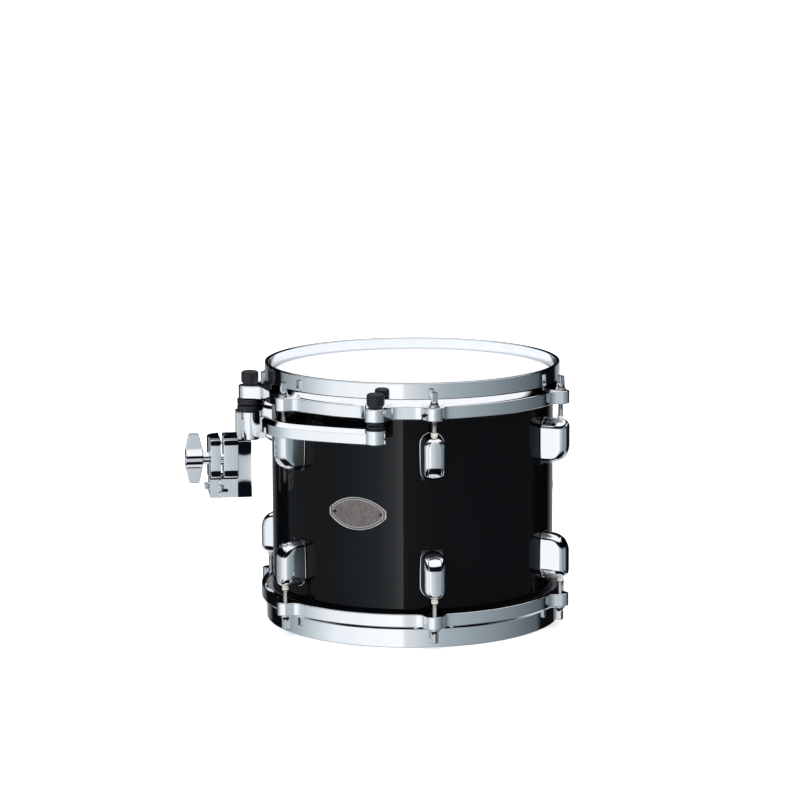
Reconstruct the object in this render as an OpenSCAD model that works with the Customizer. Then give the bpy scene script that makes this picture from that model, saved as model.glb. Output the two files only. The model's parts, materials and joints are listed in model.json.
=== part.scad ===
// Rack tom drum: a lacquered wood shell with die-cast hoops, twelve lugs and a
// rubber-isolated suspension mount that carries a rod clamp on its outer side.
// The origin is on the drum's axis, in the plane of the lower hoop's rim. +Z points
// up to the playing head and the mount is on the -X side.

/* [Shell] */
// Outside diameter of the wooden shell
shell_od = 302; // [250:1:370]
// Depth of the shell from bearing edge to bearing edge
shell_depth = 254; // [205:1:320]
// Thickness of the shell's plies
shell_wall = 6; // [4.8:0.1:7.2]
// Outside diameter of the air vent's grommet
vent_od = 16; // [13:0.5:20]

/* [Heads] */
// Thickness of a head's film
film_t = 0.3; // [0.25:0.05:0.4]
// Radial width of a head's flesh hoop
flesh_w = 6.5; // [5.4:0.1:7.8]
// Height of a head's flesh hoop
flesh_h = 9; // [7.5:0.5:10.5]

/* [Hoops] */
// Height of a hoop's rim beyond the bearing edge
rim_rise = 12; // [10:0.5:14.5]
// Thickness of the rim's wall
rim_t = 4.7; // [4:0.1:5.6]
// Distance from the rim's edge to the hoop's ears
ear_drop = 23; // [21:0.5:26]
// Thickness of the ears and of the flange between them
ear_h = 13.8; // [12.5:0.1:16.5]
// Radial thickness of the flange around the flesh hoop
flange_w = 5.2; // [4.4:0.1:6.2]
// Radius of an ear for a tension rod
ear_r = 9.3; // [8:0.1:11]

/* [Tuning] */
// Number of lugs on each head
lug_count = 6; // [6:2:8]
// Distance from the shell's face to a tension rod's axis
rod_offset = 18; // [17.5:0.1:21.5]
// Diameter of a tension rod
rod_d = 5.5; // [4.6:0.1:6.6]
// Width across the flats of a rod's square head
rod_square = 6.35; // [5.5:0.05:7.5]
// Height of a rod's square head
rod_square_h = 12; // [8:0.5:14]

/* [Lugs] */
// Width of a lug
lug_w = 22.5; // [20.5:0.5:27]
// Height of a lug
lug_h = 49; // [45:0.5:53]
// Distance from the rim's edge to a lug's rod end
lug_drop = 53; // [50:0.5:60]
// Wall between a rod's axis and the lug's outer face
lug_front = 9; // [7.8:0.1:11]
// Diameter of a lug screw
lug_screw_d = 4; // [3.4:0.1:4.8]

/* [Suspension] */
// Distance from the shell's face to the suspension bolts
mount_offset = 23.5; // [22:0.5:28]
// Angle from the middle bolt to each end bolt
arm_angle = 70; // [65:1:75]
// Height of the arm's casting
arm_h = 15.5; // [13:0.5:18.5]
// Height of the rubber between an arm's end and the hoop
grommet_h = 8; // [6.7:0.1:9.6]
// Drop from the arm's ends to the middle boss
arm_fall = 6; // [4:0.5:8]
// Diameter of a suspension bolt
bolt_d = 6; // [5:0.1:7.2]
// Diameter of a rubber cap
cap_d = 18.6; // [16:0.1:22.4]
// Height of a rubber cap
cap_h = 15; // [12.5:0.5:18]

/* [Rod clamp] */
// Diameter of the mounting rod that the clamp takes
mount_rod_d = 12.7; // [10.6:0.1:15.3]
// Height of the clamp's jaws
clamp_h = 43.5; // [36.5:0.5:52]
// Thickness of the fixed half of the clamp
clamp_body_t = 14.2; // [12.5:0.1:17]
// Thickness of the moving jaw
jaw_t = 10.8; // [9.5:0.1:13]
// Gap between the jaw and the fixed half
jaw_gap = 3.5; // [3:0.1:4.2]
// Length of the wing across its tips
wing_span = 54; // [45:1:65]
// Diameter of the wing's threaded shank
wing_shank_d = 8; // [6.7:0.1:9.6]
// Height of the memory lock
lock_h = 20; // [17:0.5:24]

/* [Badge] */
// Length of the badge around the shell
badge_l = 70; // [58:1:84]
// Height of the badge
badge_h = 35; // [29:1:42]

/* [Fits] */
// Radial clearance of a shaft that turns or slides in its bore
running_fit = 0.06; // [0.04:0.01:0.08]
// Radial clearance of a hole that a fastener passes through
free_fit = 0.6; // [0.5:0.05:0.7]

/* [Hidden] */
$fn = 64;
shell_r = shell_od / 2;
top = shell_depth + 2 * rim_rise;
mid_z = top / 2;
lug_step = 360 / lug_count;
first_lug = -90;

// Heads: the film's collar hangs just outside the shell and ends in the flesh hoop.
collar_gap = 0.4;
edge_w = 2;
flesh_in = shell_r + collar_gap + film_t;
flesh_out = flesh_in + flesh_w;
flesh_e = ear_drop + 3;
lip_w = flesh_w * 0.6;

// Hoop: the rim stands on the flesh hoop, and the flange hangs around it.
rim_in = flesh_in + 1.6;
rim_out = rim_in + rim_t;
rim_round = rim_t / 3;
channel_r = flesh_out + 0.3;
flange_r = channel_r + flange_w;
rim_slope_h = 6.5;
ear_end = ear_drop + ear_h;

// Tension rods
rod_r = rod_d / 2;
rod_circle = shell_r + rod_offset;
washer_t = 1.2;
washer_r = rod_r + 3.1;
head_flange_h = 2.6;
head_flange_r = rod_r + 2.5;

// Lugs
gasket_t = 0.8;
lug_front_r = rod_circle + lug_front;
lug_curve = 20.5;
lug_bevel = 2.8;
nut_r = rod_r + 2.15;
nut_h = 13;
nut_drop = 5;
pocket_r = nut_r + 0.2;
pocket_h = nut_drop + nut_h + 1;
guide_stand = 3.5;
lug_screw_r = lug_screw_d / 2;
lug_screw_bite = 8;
lug_screw_first = 8;
lug_screw_pitch = 20;
lug_washer_r = 5;
rod_tip = lug_drop + pocket_h - 2;

// Suspension
mount_r = shell_r + mount_offset;
mount_ear_r = 12.3;
bolt_r = bolt_d / 2;
arm_top = top - ear_end - grommet_h;
arm_bottom = arm_top - arm_h;
arm_end_r = 11.6;
boss_r = 9.8;
boss_top = arm_top - arm_fall;
boss_h = 31;
boss_bottom = boss_top - boss_h;
sleeve_r = bolt_r + 2.4;
neck_r = 4.2;
arm_root = 24.5;
arm_steps = 16;
bolt_nut_w = bolt_d * 10 / 6;

// Clamp: distances outwards from the drum's axis
tab_t = 5.5;
spine_t = 15.3;
spine_w = 28;
tab_x = mount_r + boss_r;
bracket_screw_heights = [12, 21];
spine_out = tab_x + tab_t;
spine_in = spine_out - spine_t;
parting_x = spine_out + clamp_body_t;
jaw_x = parting_x + jaw_gap;
jaw_out = jaw_x + jaw_t;
rod_x = parting_x + jaw_gap / 2;
rod_y = 6;
bore_r = mount_rod_d / 2 + 0.05;
shank_r = wing_shank_d / 2;
guide_pin_r = 2;
bulge_r = bore_r + 8.9;
front_y = rod_y - bore_r - shank_r - 12.6;
back_y = rod_y + bulge_r;
wing_y = rod_y - bore_r - shank_r - 3.6;
guide_pin_y = rod_y + bore_r + 4.1;
clamp_top = boss_bottom + 4.2;
clamp_bottom = clamp_top - clamp_h;
wing_z = clamp_bottom + clamp_h / 2 - 0.4;
tab_top = boss_top;
wing_washer_t = 1;
wing_collar_r = shank_r + 2.9;
wing_collar_l = 7;
wing_hub_r = wing_collar_r + 3.9;
wing_hub_l = 18.8;
wing_t = 5;

// Memory lock
lock_top = clamp_bottom - 1;
lock_bottom = lock_top - lock_h;
lock_split = 1.2;
lock_out = jaw_out + 1;
lock_front_y = front_y + 2;
lock_back_y = rod_y + bore_r + 10.6;
hinge_pin_r = 1.6;
hinge_r = 4.1;
hinge_x = rod_x + 2.4;
hinge_y = lock_front_y + hinge_r + 0.2;
tongue_h = lock_h * 0.37;
lock_bolt_r = 2.5;
lock_bolt_y = rod_y + bore_r + 4.6;
lock_bolt_z = lock_bottom + lock_h * 0.36;
lock_nut_w = 8;
lock_nut_t = 4;
lock_nut_x = rod_x - 11.5;
spine_bottom = lock_bottom - 0.5;

chrome = [0.80, 0.82, 0.85];
steel = [0.66, 0.67, 0.68];
rubber = [0.07, 0.07, 0.08];
lacquer = [0.03, 0.03, 0.05];

// Each half of the drum is drawn with its rim's edge at z = 0 and turned over for the top.
module batter_side() translate([0, 0, top]) mirror([0, 0, 1]) children();

module at_angle(a) rotate([0, 0, a]) children();

module at_lugs() for (i = [0 : lug_count - 1]) at_angle(first_lug + i * lug_step) children();

// Both heads' lugs, drawn once from the rim's edge.
module at_all_lugs() {
    at_lugs() children();
    batter_side() at_lugs() children();
}

module at_mounts() for (a = [-arm_angle, 0, arm_angle]) at_angle(180 + a) children();

// Along the radius, from r0 to r1, at the height z.
module radial(r0, r1, radius, z) translate([r0, 0, z]) rotate([0, 90, 0]) cylinder(h = r1 - r0, r = radius);

module tube(r_out, r_in, z0, z1) difference() {
    translate([0, 0, z0]) cylinder(h = z1 - z0, r = r_out);
    translate([0, 0, z0 - 1]) cylinder(h = z1 - z0 + 2, r = r_in);
}

// ---- shell ----

// Each edge has a 45 degree cut inside and a small one outside, which meet in the bearing edge.
module shell_section() polygon([
    [shell_r - shell_wall, rim_rise + shell_wall - edge_w],
    [shell_r - edge_w, rim_rise],
    [shell_r, rim_rise + edge_w],
    [shell_r, top - rim_rise - edge_w],
    [shell_r - edge_w, top - rim_rise],
    [shell_r - shell_wall, top - rim_rise - shell_wall + edge_w]
]);

module shell() color(lacquer) difference() {
    rotate_extrude($fn = 180) shell_section();
    at_all_lugs() for (z = [0, lug_screw_pitch])
        radial(shell_r - shell_wall - 5, shell_r + 5, lug_screw_r + 0.25, lug_drop + lug_screw_first + z);
    radial(shell_r - shell_wall - 5, shell_r + 5, vent_od / 2 - 3, mid_z);
}

// A lens-shaped outline with its ends cut off.
module badge_outline(l, h) intersection() {
    bow = (l * l / 4 + h * h / 4) / h;
    for_side = bow - h / 2;
    translate([0, for_side]) circle(r = bow, $fn = 120);
    translate([0, -for_side]) circle(r = bow, $fn = 120);
    square([l - 6, h], center = true);
}

// Shapes drawn flat and wrapped onto the shell between two radii, midway between two lugs.
module on_badge_face(r0, r1) at_angle(first_lug - lug_step / 2) intersection() {
    tube(r1, r0, mid_z - badge_h, mid_z + badge_h);
    translate([shell_r - 20, 0, mid_z]) rotate([90, 0, 90]) linear_extrude(40) children();
}

module badge_plate() color([0.20, 0.18, 0.17]) {
    pin_gap = badge_l - 18;
    on_badge_face(shell_r, shell_r + 1) difference() {
        badge_outline(badge_l, badge_h);
        for (s = [-1, 1]) translate([s * pin_gap / 2, 0]) circle(r = 0.9);
    }
    on_badge_face(shell_r + 1, shell_r + 1.5) difference() {
        badge_outline(badge_l, badge_h);
        badge_outline(badge_l - 4, badge_h - 2.6);
    }
}

module badge_pins() color([0.1, 0.1, 0.1]) at_angle(first_lug - lug_step / 2)
    for (s = [-1, 1]) {
        turn = s * asin((badge_l - 18) / 2 / shell_r);
        at_angle(turn) {
            radial(shell_r + 0.2, shell_r + 1.1, 0.8, mid_z);
            radial(shell_r + 1.1, shell_r + 1.9, 1.6, mid_z);
        }
    }

module vent_grommet() color(chrome) difference() {
    union() {
        radial(shell_r - shell_wall - 0.8, shell_r + 1, vent_od / 2 - 3.1, mid_z);
        radial(shell_r + 0.05, shell_r + 1.4, vent_od / 2, mid_z);
        radial(shell_r - shell_wall - 1.8, shell_r - shell_wall - 0.4, vent_od / 2 - 1, mid_z);
    }
    radial(shell_r - shell_wall - 5, shell_r + 5, vent_od / 2 - 4.6, mid_z);
}

// ---- heads ----

module head_film() rotate_extrude($fn = 180) polygon([
    [0, rim_rise - film_t],
    [shell_r - edge_w + 0.1, rim_rise - film_t],
    [flesh_in, rim_rise + edge_w - 0.2],
    [flesh_in, flesh_e + flesh_h / 2],
    [flesh_in + lip_w, flesh_e + flesh_h / 2],
    [flesh_in + lip_w, flesh_e + flesh_h / 2 + film_t],
    [flesh_in - film_t, flesh_e + flesh_h / 2 + film_t],
    [flesh_in - film_t, rim_rise + edge_w],
    [shell_r - edge_w, rim_rise],
    [0, rim_rise]
]);

module flesh_hoop() difference() {
    tube(flesh_out, flesh_in, flesh_e, flesh_e + flesh_h);
    groove = flesh_e + flesh_h / 2;
    tube(flesh_in + lip_w, flesh_in - 1, groove, groove + film_t);
}

module batter_head_film() color("white") batter_side() head_film();
module resonant_head_film() color("white") head_film();
module batter_flesh_hoop() color(steel) batter_side() flesh_hoop($fn = 180);
module resonant_flesh_hoop() color(steel) flesh_hoop($fn = 180);

// ---- hoops ----

module hoop_section() {
    translate([rim_out - rim_round, rim_round]) circle(r = rim_round);
    translate([rim_in, 0]) square([rim_t - rim_round, flesh_e]);
    translate([rim_in, rim_round]) square([rim_t, flesh_e - rim_round]);
    polygon([
        [rim_in + rim_t / 2, ear_drop - rim_slope_h],
        [rim_out, ear_drop - rim_slope_h],
        [flange_r - 1.4, ear_drop - 1],
        [flange_r - 0.8, ear_drop],
        [flange_r, ear_drop + 0.8],
        [flange_r, ear_end - 0.8],
        [flange_r - 0.8, ear_end],
        [channel_r, ear_end],
        [channel_r, flesh_e],
        [rim_in + rim_t / 2, flesh_e]
    ]);
}

// An ear that flares from its rounded end into the flange.
module ear(reach, radius, flare) translate([0, 0, ear_drop]) {
    translate([reach, 0, 0]) cylinder(h = ear_h, r = radius);
    linear_extrude(ear_h) polygon([
        [channel_r + 1.5, -radius - flare],
        [flange_r, -radius - flare * 0.75],
        [reach, -radius],
        [reach, radius],
        [flange_r, radius + flare * 0.75],
        [channel_r + 1.5, radius + flare]
    ]);
}

module hoop(mounts) difference() {
    union() {
        rotate_extrude($fn = 180) hoop_section();
        at_lugs() ear(rod_circle, ear_r, 4.5);
        for (a = mounts) at_angle(180 + a) ear(mount_r, mount_ear_r, 5);
    }
    at_lugs() translate([rod_circle, 0, ear_drop - 1]) cylinder(h = ear_h + 2, r = rod_r + free_fit);
    for (a = mounts) at_angle(180 + a)
        translate([mount_r, 0, ear_drop - 1]) cylinder(h = ear_h + 2, r = sleeve_r + 0.1);
}

module batter_hoop() color(chrome) batter_side() hoop([-arm_angle, 0, arm_angle]);
module resonant_hoop() color(chrome) hoop([]);

// ---- lugs ----

// Seen from outside: an arch at the rod end and a square far end.
module lug_front_view() {
    translate([lug_w / 2, 0]) circle(r = lug_w / 2);
    translate([lug_w / 2, -lug_w / 2]) square([lug_h - lug_w / 2, lug_w]);
}

// Seen from the side: upright outer face that curves back into the shell.
module lug_side_view() {
    square([lug_front_r, lug_h - lug_curve]);
    intersection() {
        translate([lug_front_r - lug_curve, lug_h - lug_curve]) circle(r = lug_curve, $fn = 96);
        square([lug_front_r, lug_h]);
    }
    translate([0, lug_h - lug_curve]) square([lug_front_r - lug_curve, lug_curve]);
}

// Seen along the rod: a raised face with bevelled edges.
module lug_plan() polygon([
    [shell_r - 5, -lug_w / 2],
    [lug_front_r - 5.5, -lug_w / 2],
    [lug_front_r - 1, -lug_w / 2 + lug_bevel],
    [lug_front_r + 0.01, -lug_w / 2 + lug_bevel],
    [lug_front_r + 0.01, lug_w / 2 - lug_bevel],
    [lug_front_r - 1, lug_w / 2 - lug_bevel],
    [lug_front_r - 5.5, lug_w / 2],
    [shell_r - 5, lug_w / 2]
]);

module lug_body() translate([0, 0, lug_drop]) intersection() {
    translate([0, lug_w, 0]) rotate([90, 0, 0]) linear_extrude(2 * lug_w) lug_side_view();
    linear_extrude(lug_h) lug_plan();
    rotate([0, 90, 0]) mirror([1, 0, 0]) linear_extrude(lug_front_r + 5) lug_front_view();
}

module lug() difference() {
    lug_body();
    cylinder(h = top / 2, r = shell_r + gasket_t, $fn = 180);
    translate([rod_circle, 0, lug_drop - 1]) cylinder(h = pocket_h + 1, r = pocket_r);
    for (z = [0, lug_screw_pitch])
        radial(shell_r - 1, shell_r + lug_screw_bite + 1, lug_screw_r + 0.03, lug_drop + lug_screw_first + z);
}

module batter_lugs() color(chrome) batter_side() at_lugs() lug();
module resonant_lugs() color(chrome) at_lugs() lug();

module lug_gaskets() color(rubber) at_all_lugs() difference() {
    intersection() {
        tube(shell_r + gasket_t, shell_r, lug_drop, lug_drop + lug_h);
        translate([0, 0, lug_drop]) rotate([0, 90, 0]) mirror([1, 0, 0])
            linear_extrude(lug_front_r) lug_front_view();
    }
    for (z = [0, lug_screw_pitch])
        radial(shell_r - 5, shell_r + 5, lug_screw_r + 0.25, lug_drop + lug_screw_first + z);
}

// A flat washer touches the shell's curved inside at its edge.
function washer_seat() = sqrt(pow(shell_r - shell_wall, 2) - pow(lug_washer_r, 2));

module lug_screws() color(steel) at_all_lugs() for (z = [0, lug_screw_pitch])
    translate([0, 0, lug_drop + lug_screw_first + z]) {
        radial(washer_seat() - 1, shell_r + lug_screw_bite, lug_screw_r, 0);
        difference() {
            radial(washer_seat() - 3.4, washer_seat() - 1, lug_screw_r + 2, 0);
            radial(washer_seat() - 4, washer_seat() - 2.2, 0.6, 0);
        }
    }

module lug_screw_washers() color(steel) at_all_lugs() for (z = [0, lug_screw_pitch])
    translate([0, 0, lug_drop + lug_screw_first + z]) difference() {
        radial(washer_seat() - 1, washer_seat(), lug_washer_r, 0);
        radial(washer_seat() - 2, washer_seat() + 1, lug_screw_r + 0.25, 0);
    }

module lug_swivel_nuts() color([0.75, 0.62, 0.35]) at_all_lugs() translate([rod_circle, 0, 0])
    tube(nut_r, rod_r + running_fit, lug_drop + nut_drop, lug_drop + nut_drop + nut_h);

// A nylon bush closes the pocket over the swivel nut and stands out of the lug.
module lug_rod_guides() color([0.86, 0.84, 0.76]) at_all_lugs() translate([rod_circle, 0, 0]) {
    tube(rod_r + 1.0, rod_r + 0.2, lug_drop - guide_stand, lug_drop);
    tube(pocket_r - 0.05, rod_r + 0.2, lug_drop, lug_drop + nut_drop - 0.4);
}

module rod_washers() color(steel) at_all_lugs() translate([rod_circle, 0, 0])
    tube(washer_r, rod_r + 0.3, ear_drop - washer_t, ear_drop);

// ---- tension rods ----

module tension_rod(i) at_angle(first_lug + i * lug_step) translate([rod_circle, 0, 0]) {
    seat = ear_drop - washer_t - 0.05;
    translate([0, 0, seat - 0.01]) cylinder(h = rod_tip - seat, r = rod_r);
    translate([0, 0, seat - 1]) cylinder(h = 1, r = head_flange_r);
    translate([0, 0, seat - head_flange_h])
        cylinder(h = head_flange_h - 1, r1 = rod_square * 0.6, r2 = head_flange_r);
    translate([-rod_square / 2, -rod_square / 2, seat - head_flange_h - rod_square_h])
        cube([rod_square, rod_square, rod_square_h + 0.5]);
}

module batter_rod(i) color(steel) batter_side() tension_rod(i);
module resonant_rod(i) color(steel) tension_rod(i);

// ---- suspension ----

// The arm swings out around the lug beside the mount and closes in on the end boss.
function lug_pass(a) = exp(-pow((a - lug_step * 0.6) / (lug_step * 0.22), 2));
function arm_outer(a) = lug_front_r + 4.5 + 9.5 * lug_pass(a);
function ease(t) = t <= 0 ? 0 : t >= 1 ? 1 : t * t * (3 - 2 * t);
function arm_inner(a) = arm_outer(a) - 8 - 5.5 * ease((a - arm_root) / 20);
function arm_angle_at(i) = arm_root + (arm_angle - arm_root) * i / arm_steps;
function on_circle(r, a) = [r * cos(a), r * sin(a)];

module arm_band() {
    outer = [for (i = [0 : arm_steps]) on_circle(arm_outer(arm_angle_at(i)), arm_angle_at(i))];
    inner = [for (i = [arm_steps : -1 : 0]) on_circle(arm_inner(arm_angle_at(i)), arm_angle_at(i))];
    translate([0, 0, arm_bottom]) linear_extrude(arm_h) polygon(concat(outer, inner));
}

// The neck falls from the band's root to the middle boss.
module arm_neck() {
    root = on_circle((arm_outer(arm_root) + arm_inner(arm_root)) / 2, arm_root);
    hull() {
        translate([root[0], root[1], arm_bottom]) cylinder(h = arm_h, r = neck_r, $fn = 32);
        translate([mount_r - 11, 12, boss_bottom + 2]) cylinder(h = arm_h, r = neck_r, $fn = 32);
    }
    translate([mount_r - 11 - neck_r, 0, boss_bottom + 2]) cube([neck_r * 2, 12, arm_h]);
}

module suspension_arm() color(chrome) difference() {
    rotate([0, 0, 180]) {
        for (m = [0, 1]) mirror([0, m, 0]) {
            arm_band();
            arm_neck();
            at_angle(arm_angle) translate([mount_r, 0, arm_bottom]) cylinder(h = arm_h, r = arm_end_r);
        }
        translate([mount_r, 0, boss_bottom]) cylinder(h = boss_top - boss_bottom, r = boss_r);
        translate([mount_r, -7, boss_bottom + 3]) cube([tab_x - mount_r, 14, boss_top - boss_bottom - 6]);
    }
    at_mounts() translate([mount_r, 0, boss_bottom - 1]) cylinder(h = top, r = bolt_r + 0.3);
    at_mounts() translate([mount_r, 0, 0]) cylinder(h = arm_bottom + 5, r = bolt_r * 1.75);
    rotate([0, 0, 180]) translate([mount_r, 0, boss_bottom - 1]) cylinder(h = 9, r = bolt_r * 1.75);
    rotate([0, 0, 180]) for (z = bracket_screw_heights)
        radial(tab_x - 6, tab_x + 1, 1.55, boss_bottom + z);
}

// Each rubber stands on the casting, carries the ear and lines its hole.
module grommet(base, waist) translate([mount_r, 0, 0]) difference() {
    seat = top - ear_end;
    body = min(seat - base, 13.5);
    union() {
        translate([0, 0, base]) cylinder(h = seat - base, r = bolt_r + 4.6);
        translate([0, 0, seat - body]) cylinder(h = body * 0.42, r = waist);
        translate([0, 0, seat - body * 0.46]) cylinder(h = body * 0.46, r = waist);
        translate([0, 0, base]) cylinder(h = seat + ear_h - base - 0.2, r = sleeve_r);
    }
    translate([0, 0, base - 1]) cylinder(h = top, r = bolt_r + 0.1);
}

module lower_grommets() color(rubber) {
    for (a = [-arm_angle, arm_angle]) at_angle(180 + a) grommet(arm_top, bolt_r + 6.6);
    at_angle(180) grommet(boss_top, bolt_r + 10.9);
}

module upper_caps() color(rubber) at_mounts() translate([mount_r, 0, top - ear_drop]) difference() {
    union() {
        cylinder(h = 1.5, r = cap_d / 2 - 2);
        translate([0, 0, 1.5]) cylinder(h = 1.5, r1 = cap_d / 2 - 1.4, r2 = cap_d / 2);
        translate([0, 0, 3]) cylinder(h = cap_h - 4.5, r = cap_d / 2);
        translate([0, 0, cap_h - 1.5]) cylinder(h = 1.5, r1 = cap_d / 2, r2 = cap_d / 2 - 1.5);
    }
    translate([0, 0, -1]) cylinder(h = cap_h + 2, r = bolt_r + 0.1);
    translate([0, 0, cap_h - 8]) cylinder(h = 6, r = bolt_nut_w / sqrt(3), $fn = 6);
}

module suspension_nuts() color(steel) at_mounts() translate([mount_r, 0, top - ear_drop + cap_h - 7.5])
    difference() {
        cylinder(h = 5, r = bolt_nut_w / sqrt(3) - 0.1, $fn = 6);
        translate([0, 0, -1]) cylinder(h = 7, r = bolt_r + 0.04);
    }

// A cap screw with a hexagon socket, its head sunk in the casting from below.
module suspension_bolt(seat) translate([mount_r, 0, 0]) {
    translate([0, 0, seat]) cylinder(h = top - ear_drop + cap_h + 0.6 - seat, r = bolt_r);
    difference() {
        translate([0, 0, seat - bolt_r * 1.5]) cylinder(h = bolt_r * 1.5, r = bolt_r * 1.65);
        translate([0, 0, seat - bolt_r * 1.5 - 1]) cylinder(h = bolt_r + 1, r = bolt_r * 0.95, $fn = 6);
    }
}

module suspension_bolts() color(steel) {
    for (a = [-arm_angle, arm_angle]) at_angle(180 + a) suspension_bolt(arm_bottom + 5);
    at_angle(180) suspension_bolt(boss_bottom + 8);
}

// ---- rod clamp: drawn with +X pointing out from the drum ----

module outwards() mirror([1, 0, 0]) children();

module block(x0, x1, y0, y1, z0, z1) translate([x0, y0, z0]) cube([x1 - x0, y1 - y0, z1 - z0]);

// A long shallow hollow across a front face.
module scoop(x0, x1, face_y, z, radius, depth)
    translate([x0, face_y - radius + depth, z]) rotate([0, 90, 0]) cylinder(h = x1 - x0, r = radius, $fn = 96);

module clamp_bracket() color(chrome) outwards() difference() {
    union() {
        block(spine_in, spine_out, -spine_w / 2, spine_w / 2, spine_bottom, boss_bottom);
        block(tab_x, spine_out, -7, spine_w / 2, spine_bottom, tab_top);
        block(spine_out - 1, parting_x, front_y, back_y, clamp_bottom, clamp_top);
    }
    scoop_z = (spine_bottom + boss_bottom) / 2;
    scoop(spine_in - 1, spine_out - 3, -spine_w / 2, scoop_z, 62, 5);
    scoop(spine_out + 2, parting_x + 1, front_y, (clamp_bottom + clamp_top) / 2, 70, 2.2);
    translate([rod_x, rod_y, clamp_bottom - 1]) cylinder(h = clamp_h + 2, r = bore_r);
    translate([parting_x - 11, wing_y, wing_z]) rotate([0, 90, 0]) cylinder(h = 20, r = shank_r + running_fit);
    for (z = [0.24, 0.76]) translate([0, guide_pin_y, 0])
        radial(parting_x - 9, parting_x + 1, guide_pin_r, clamp_bottom + clamp_h * z);
    for (z = bracket_screw_heights) {
        radial(tab_x - 1, spine_out + 1, 1.8, boss_bottom + z);
        radial(spine_out - 3, spine_out + 9, 3.4, boss_bottom + z);
    }
    for (y = [-7, 7]) translate([0, y, 0]) {
        radial(spine_in - 1, spine_out + 1, 2.2, lock_bottom + lock_h / 2);
        radial(spine_in - 1, spine_in + 4, 4.2, lock_bottom + lock_h / 2);
    }
}

module bracket_screws() color(steel) outwards() for (z = bracket_screw_heights) {
    radial(tab_x - 5.5, spine_out - 3, 1.5, boss_bottom + z);
    radial(spine_out - 3, spine_out - 0.3, 3.2, boss_bottom + z);
}

module jaw_guide_pins() color(steel) outwards() for (z = [0.24, 0.76]) translate([0, guide_pin_y, 0])
    radial(parting_x - 9, jaw_x + 6.5, guide_pin_r, clamp_bottom + clamp_h * z);

module clamp_jaw() color(chrome) outwards() difference() {
    union() {
        block(jaw_x, jaw_out, front_y, rod_y + bulge_r * 0.6, clamp_bottom, clamp_top);
        intersection() {
            translate([rod_x, rod_y, clamp_bottom]) cylinder(h = clamp_h, r = bulge_r);
            block(jaw_x, jaw_out + 20, rod_y - bulge_r, back_y, clamp_bottom, clamp_top);
        }
    }
    scoop(jaw_x - 1, jaw_out - 2, front_y, (clamp_bottom + clamp_top) / 2, 70, 2.2);
    translate([rod_x, rod_y, clamp_bottom - 1]) cylinder(h = clamp_h + 2, r = bore_r);
    translate([0, wing_y, 0]) {
        radial(jaw_x - 1, jaw_out + 1, shank_r + running_fit, wing_z);
        radial(jaw_out, jaw_out + 20, wing_collar_r + 2, wing_z);
    }
    for (z = [0.24, 0.76]) translate([0, guide_pin_y, 0])
        radial(jaw_x - 1, jaw_x + 7, guide_pin_r + running_fit, clamp_bottom + clamp_h * z);
}

module wing_washer() color(steel) outwards() translate([0, wing_y, 0]) difference() {
    radial(jaw_out, jaw_out + wing_washer_t, wing_collar_r + 1.4, wing_z);
    radial(jaw_out - 1, jaw_out + 3, shank_r + 0.3, wing_z);
}

// Both wings in one plane, broad at the hub and narrower at the rounded tips.
module wing_outline() {
    tip = wing_span / 2;
    polygon([
        [0, 0], [1.2, tip * 0.5], [3.6, tip - 2.4], [6.4, tip],
        [wing_hub_l - 6.4, tip], [wing_hub_l - 3.6, tip - 2.4], [wing_hub_l - 1.2, tip * 0.5],
        [wing_hub_l, 0], [wing_hub_l - 1.2, -tip * 0.5], [wing_hub_l - 3.6, 2.4 - tip],
        [wing_hub_l - 6.4, -tip], [6.4, -tip], [3.6, 2.4 - tip], [1.2, -tip * 0.5]
    ]);
}

module wing_bolt() color(chrome) outwards() translate([0, wing_y, 0]) {
    collar = jaw_out + wing_washer_t + 0.05;
    radial(parting_x - 9.5, collar, shank_r, wing_z);
    radial(collar, collar + wing_collar_l, wing_collar_r, wing_z);
    radial(collar + wing_collar_l, collar + wing_collar_l + wing_hub_l, wing_hub_r, wing_z);
    translate([collar + wing_collar_l, wing_t / 2, wing_z]) rotate([90, 0, 0])
        linear_extrude(wing_t) wing_outline();
}

// ---- memory lock ----

module lock_tongue_gap(extra) block(
    hinge_x - hinge_r - 0.6 - extra, hinge_x + 20, hinge_y - 9, hinge_y + hinge_r + 0.5,
    lock_bottom + (lock_h - tongue_h) / 2 - 0.15, lock_bottom + (lock_h + tongue_h) / 2 + 0.15);

module memory_lock_inner() color(chrome) outwards() difference() {
    union() {
        block(spine_out, rod_x - lock_split / 2, lock_front_y, lock_back_y, lock_bottom, lock_top);
        translate([hinge_x, hinge_y, lock_bottom]) cylinder(h = lock_h, r = hinge_r);
        block(rod_x - 8, hinge_x, lock_front_y + 0.2, hinge_y + hinge_r, lock_bottom, lock_top);
    }
    lock_tongue_gap(3);
    translate([rod_x, rod_y, lock_bottom - 1]) cylinder(h = lock_h + 2, r = bore_r);
    translate([hinge_x, hinge_y, lock_bottom - 1]) cylinder(h = lock_h + 2, r = hinge_pin_r);
    translate([0, lock_bolt_y, 0])
        radial(lock_nut_x - 5, rod_x + 5, lock_bolt_r + 0.9, lock_bolt_z);
    block(lock_nut_x - 0.4, lock_nut_x + lock_nut_t + 0.2, lock_bolt_y - lock_nut_w / 2 - 0.8,
        lock_back_y + 5, lock_bolt_z - lock_nut_w / 2 - 0.3, lock_bolt_z + lock_nut_w / 2 + 0.3);
    for (y = [-7, 7]) translate([0, y, 0])
        radial(spine_out - 1, spine_out + 6, 2.03, lock_bottom + lock_h / 2);
}

module memory_lock_screws() color(steel) outwards() for (y = [-7, 7]) translate([0, y, 0]) {
    radial(spine_in + 4, spine_out + 5.5, 2, lock_bottom + lock_h / 2);
    radial(spine_in + 0.6, spine_in + 4, 3.8, lock_bottom + lock_h / 2);
}

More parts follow.
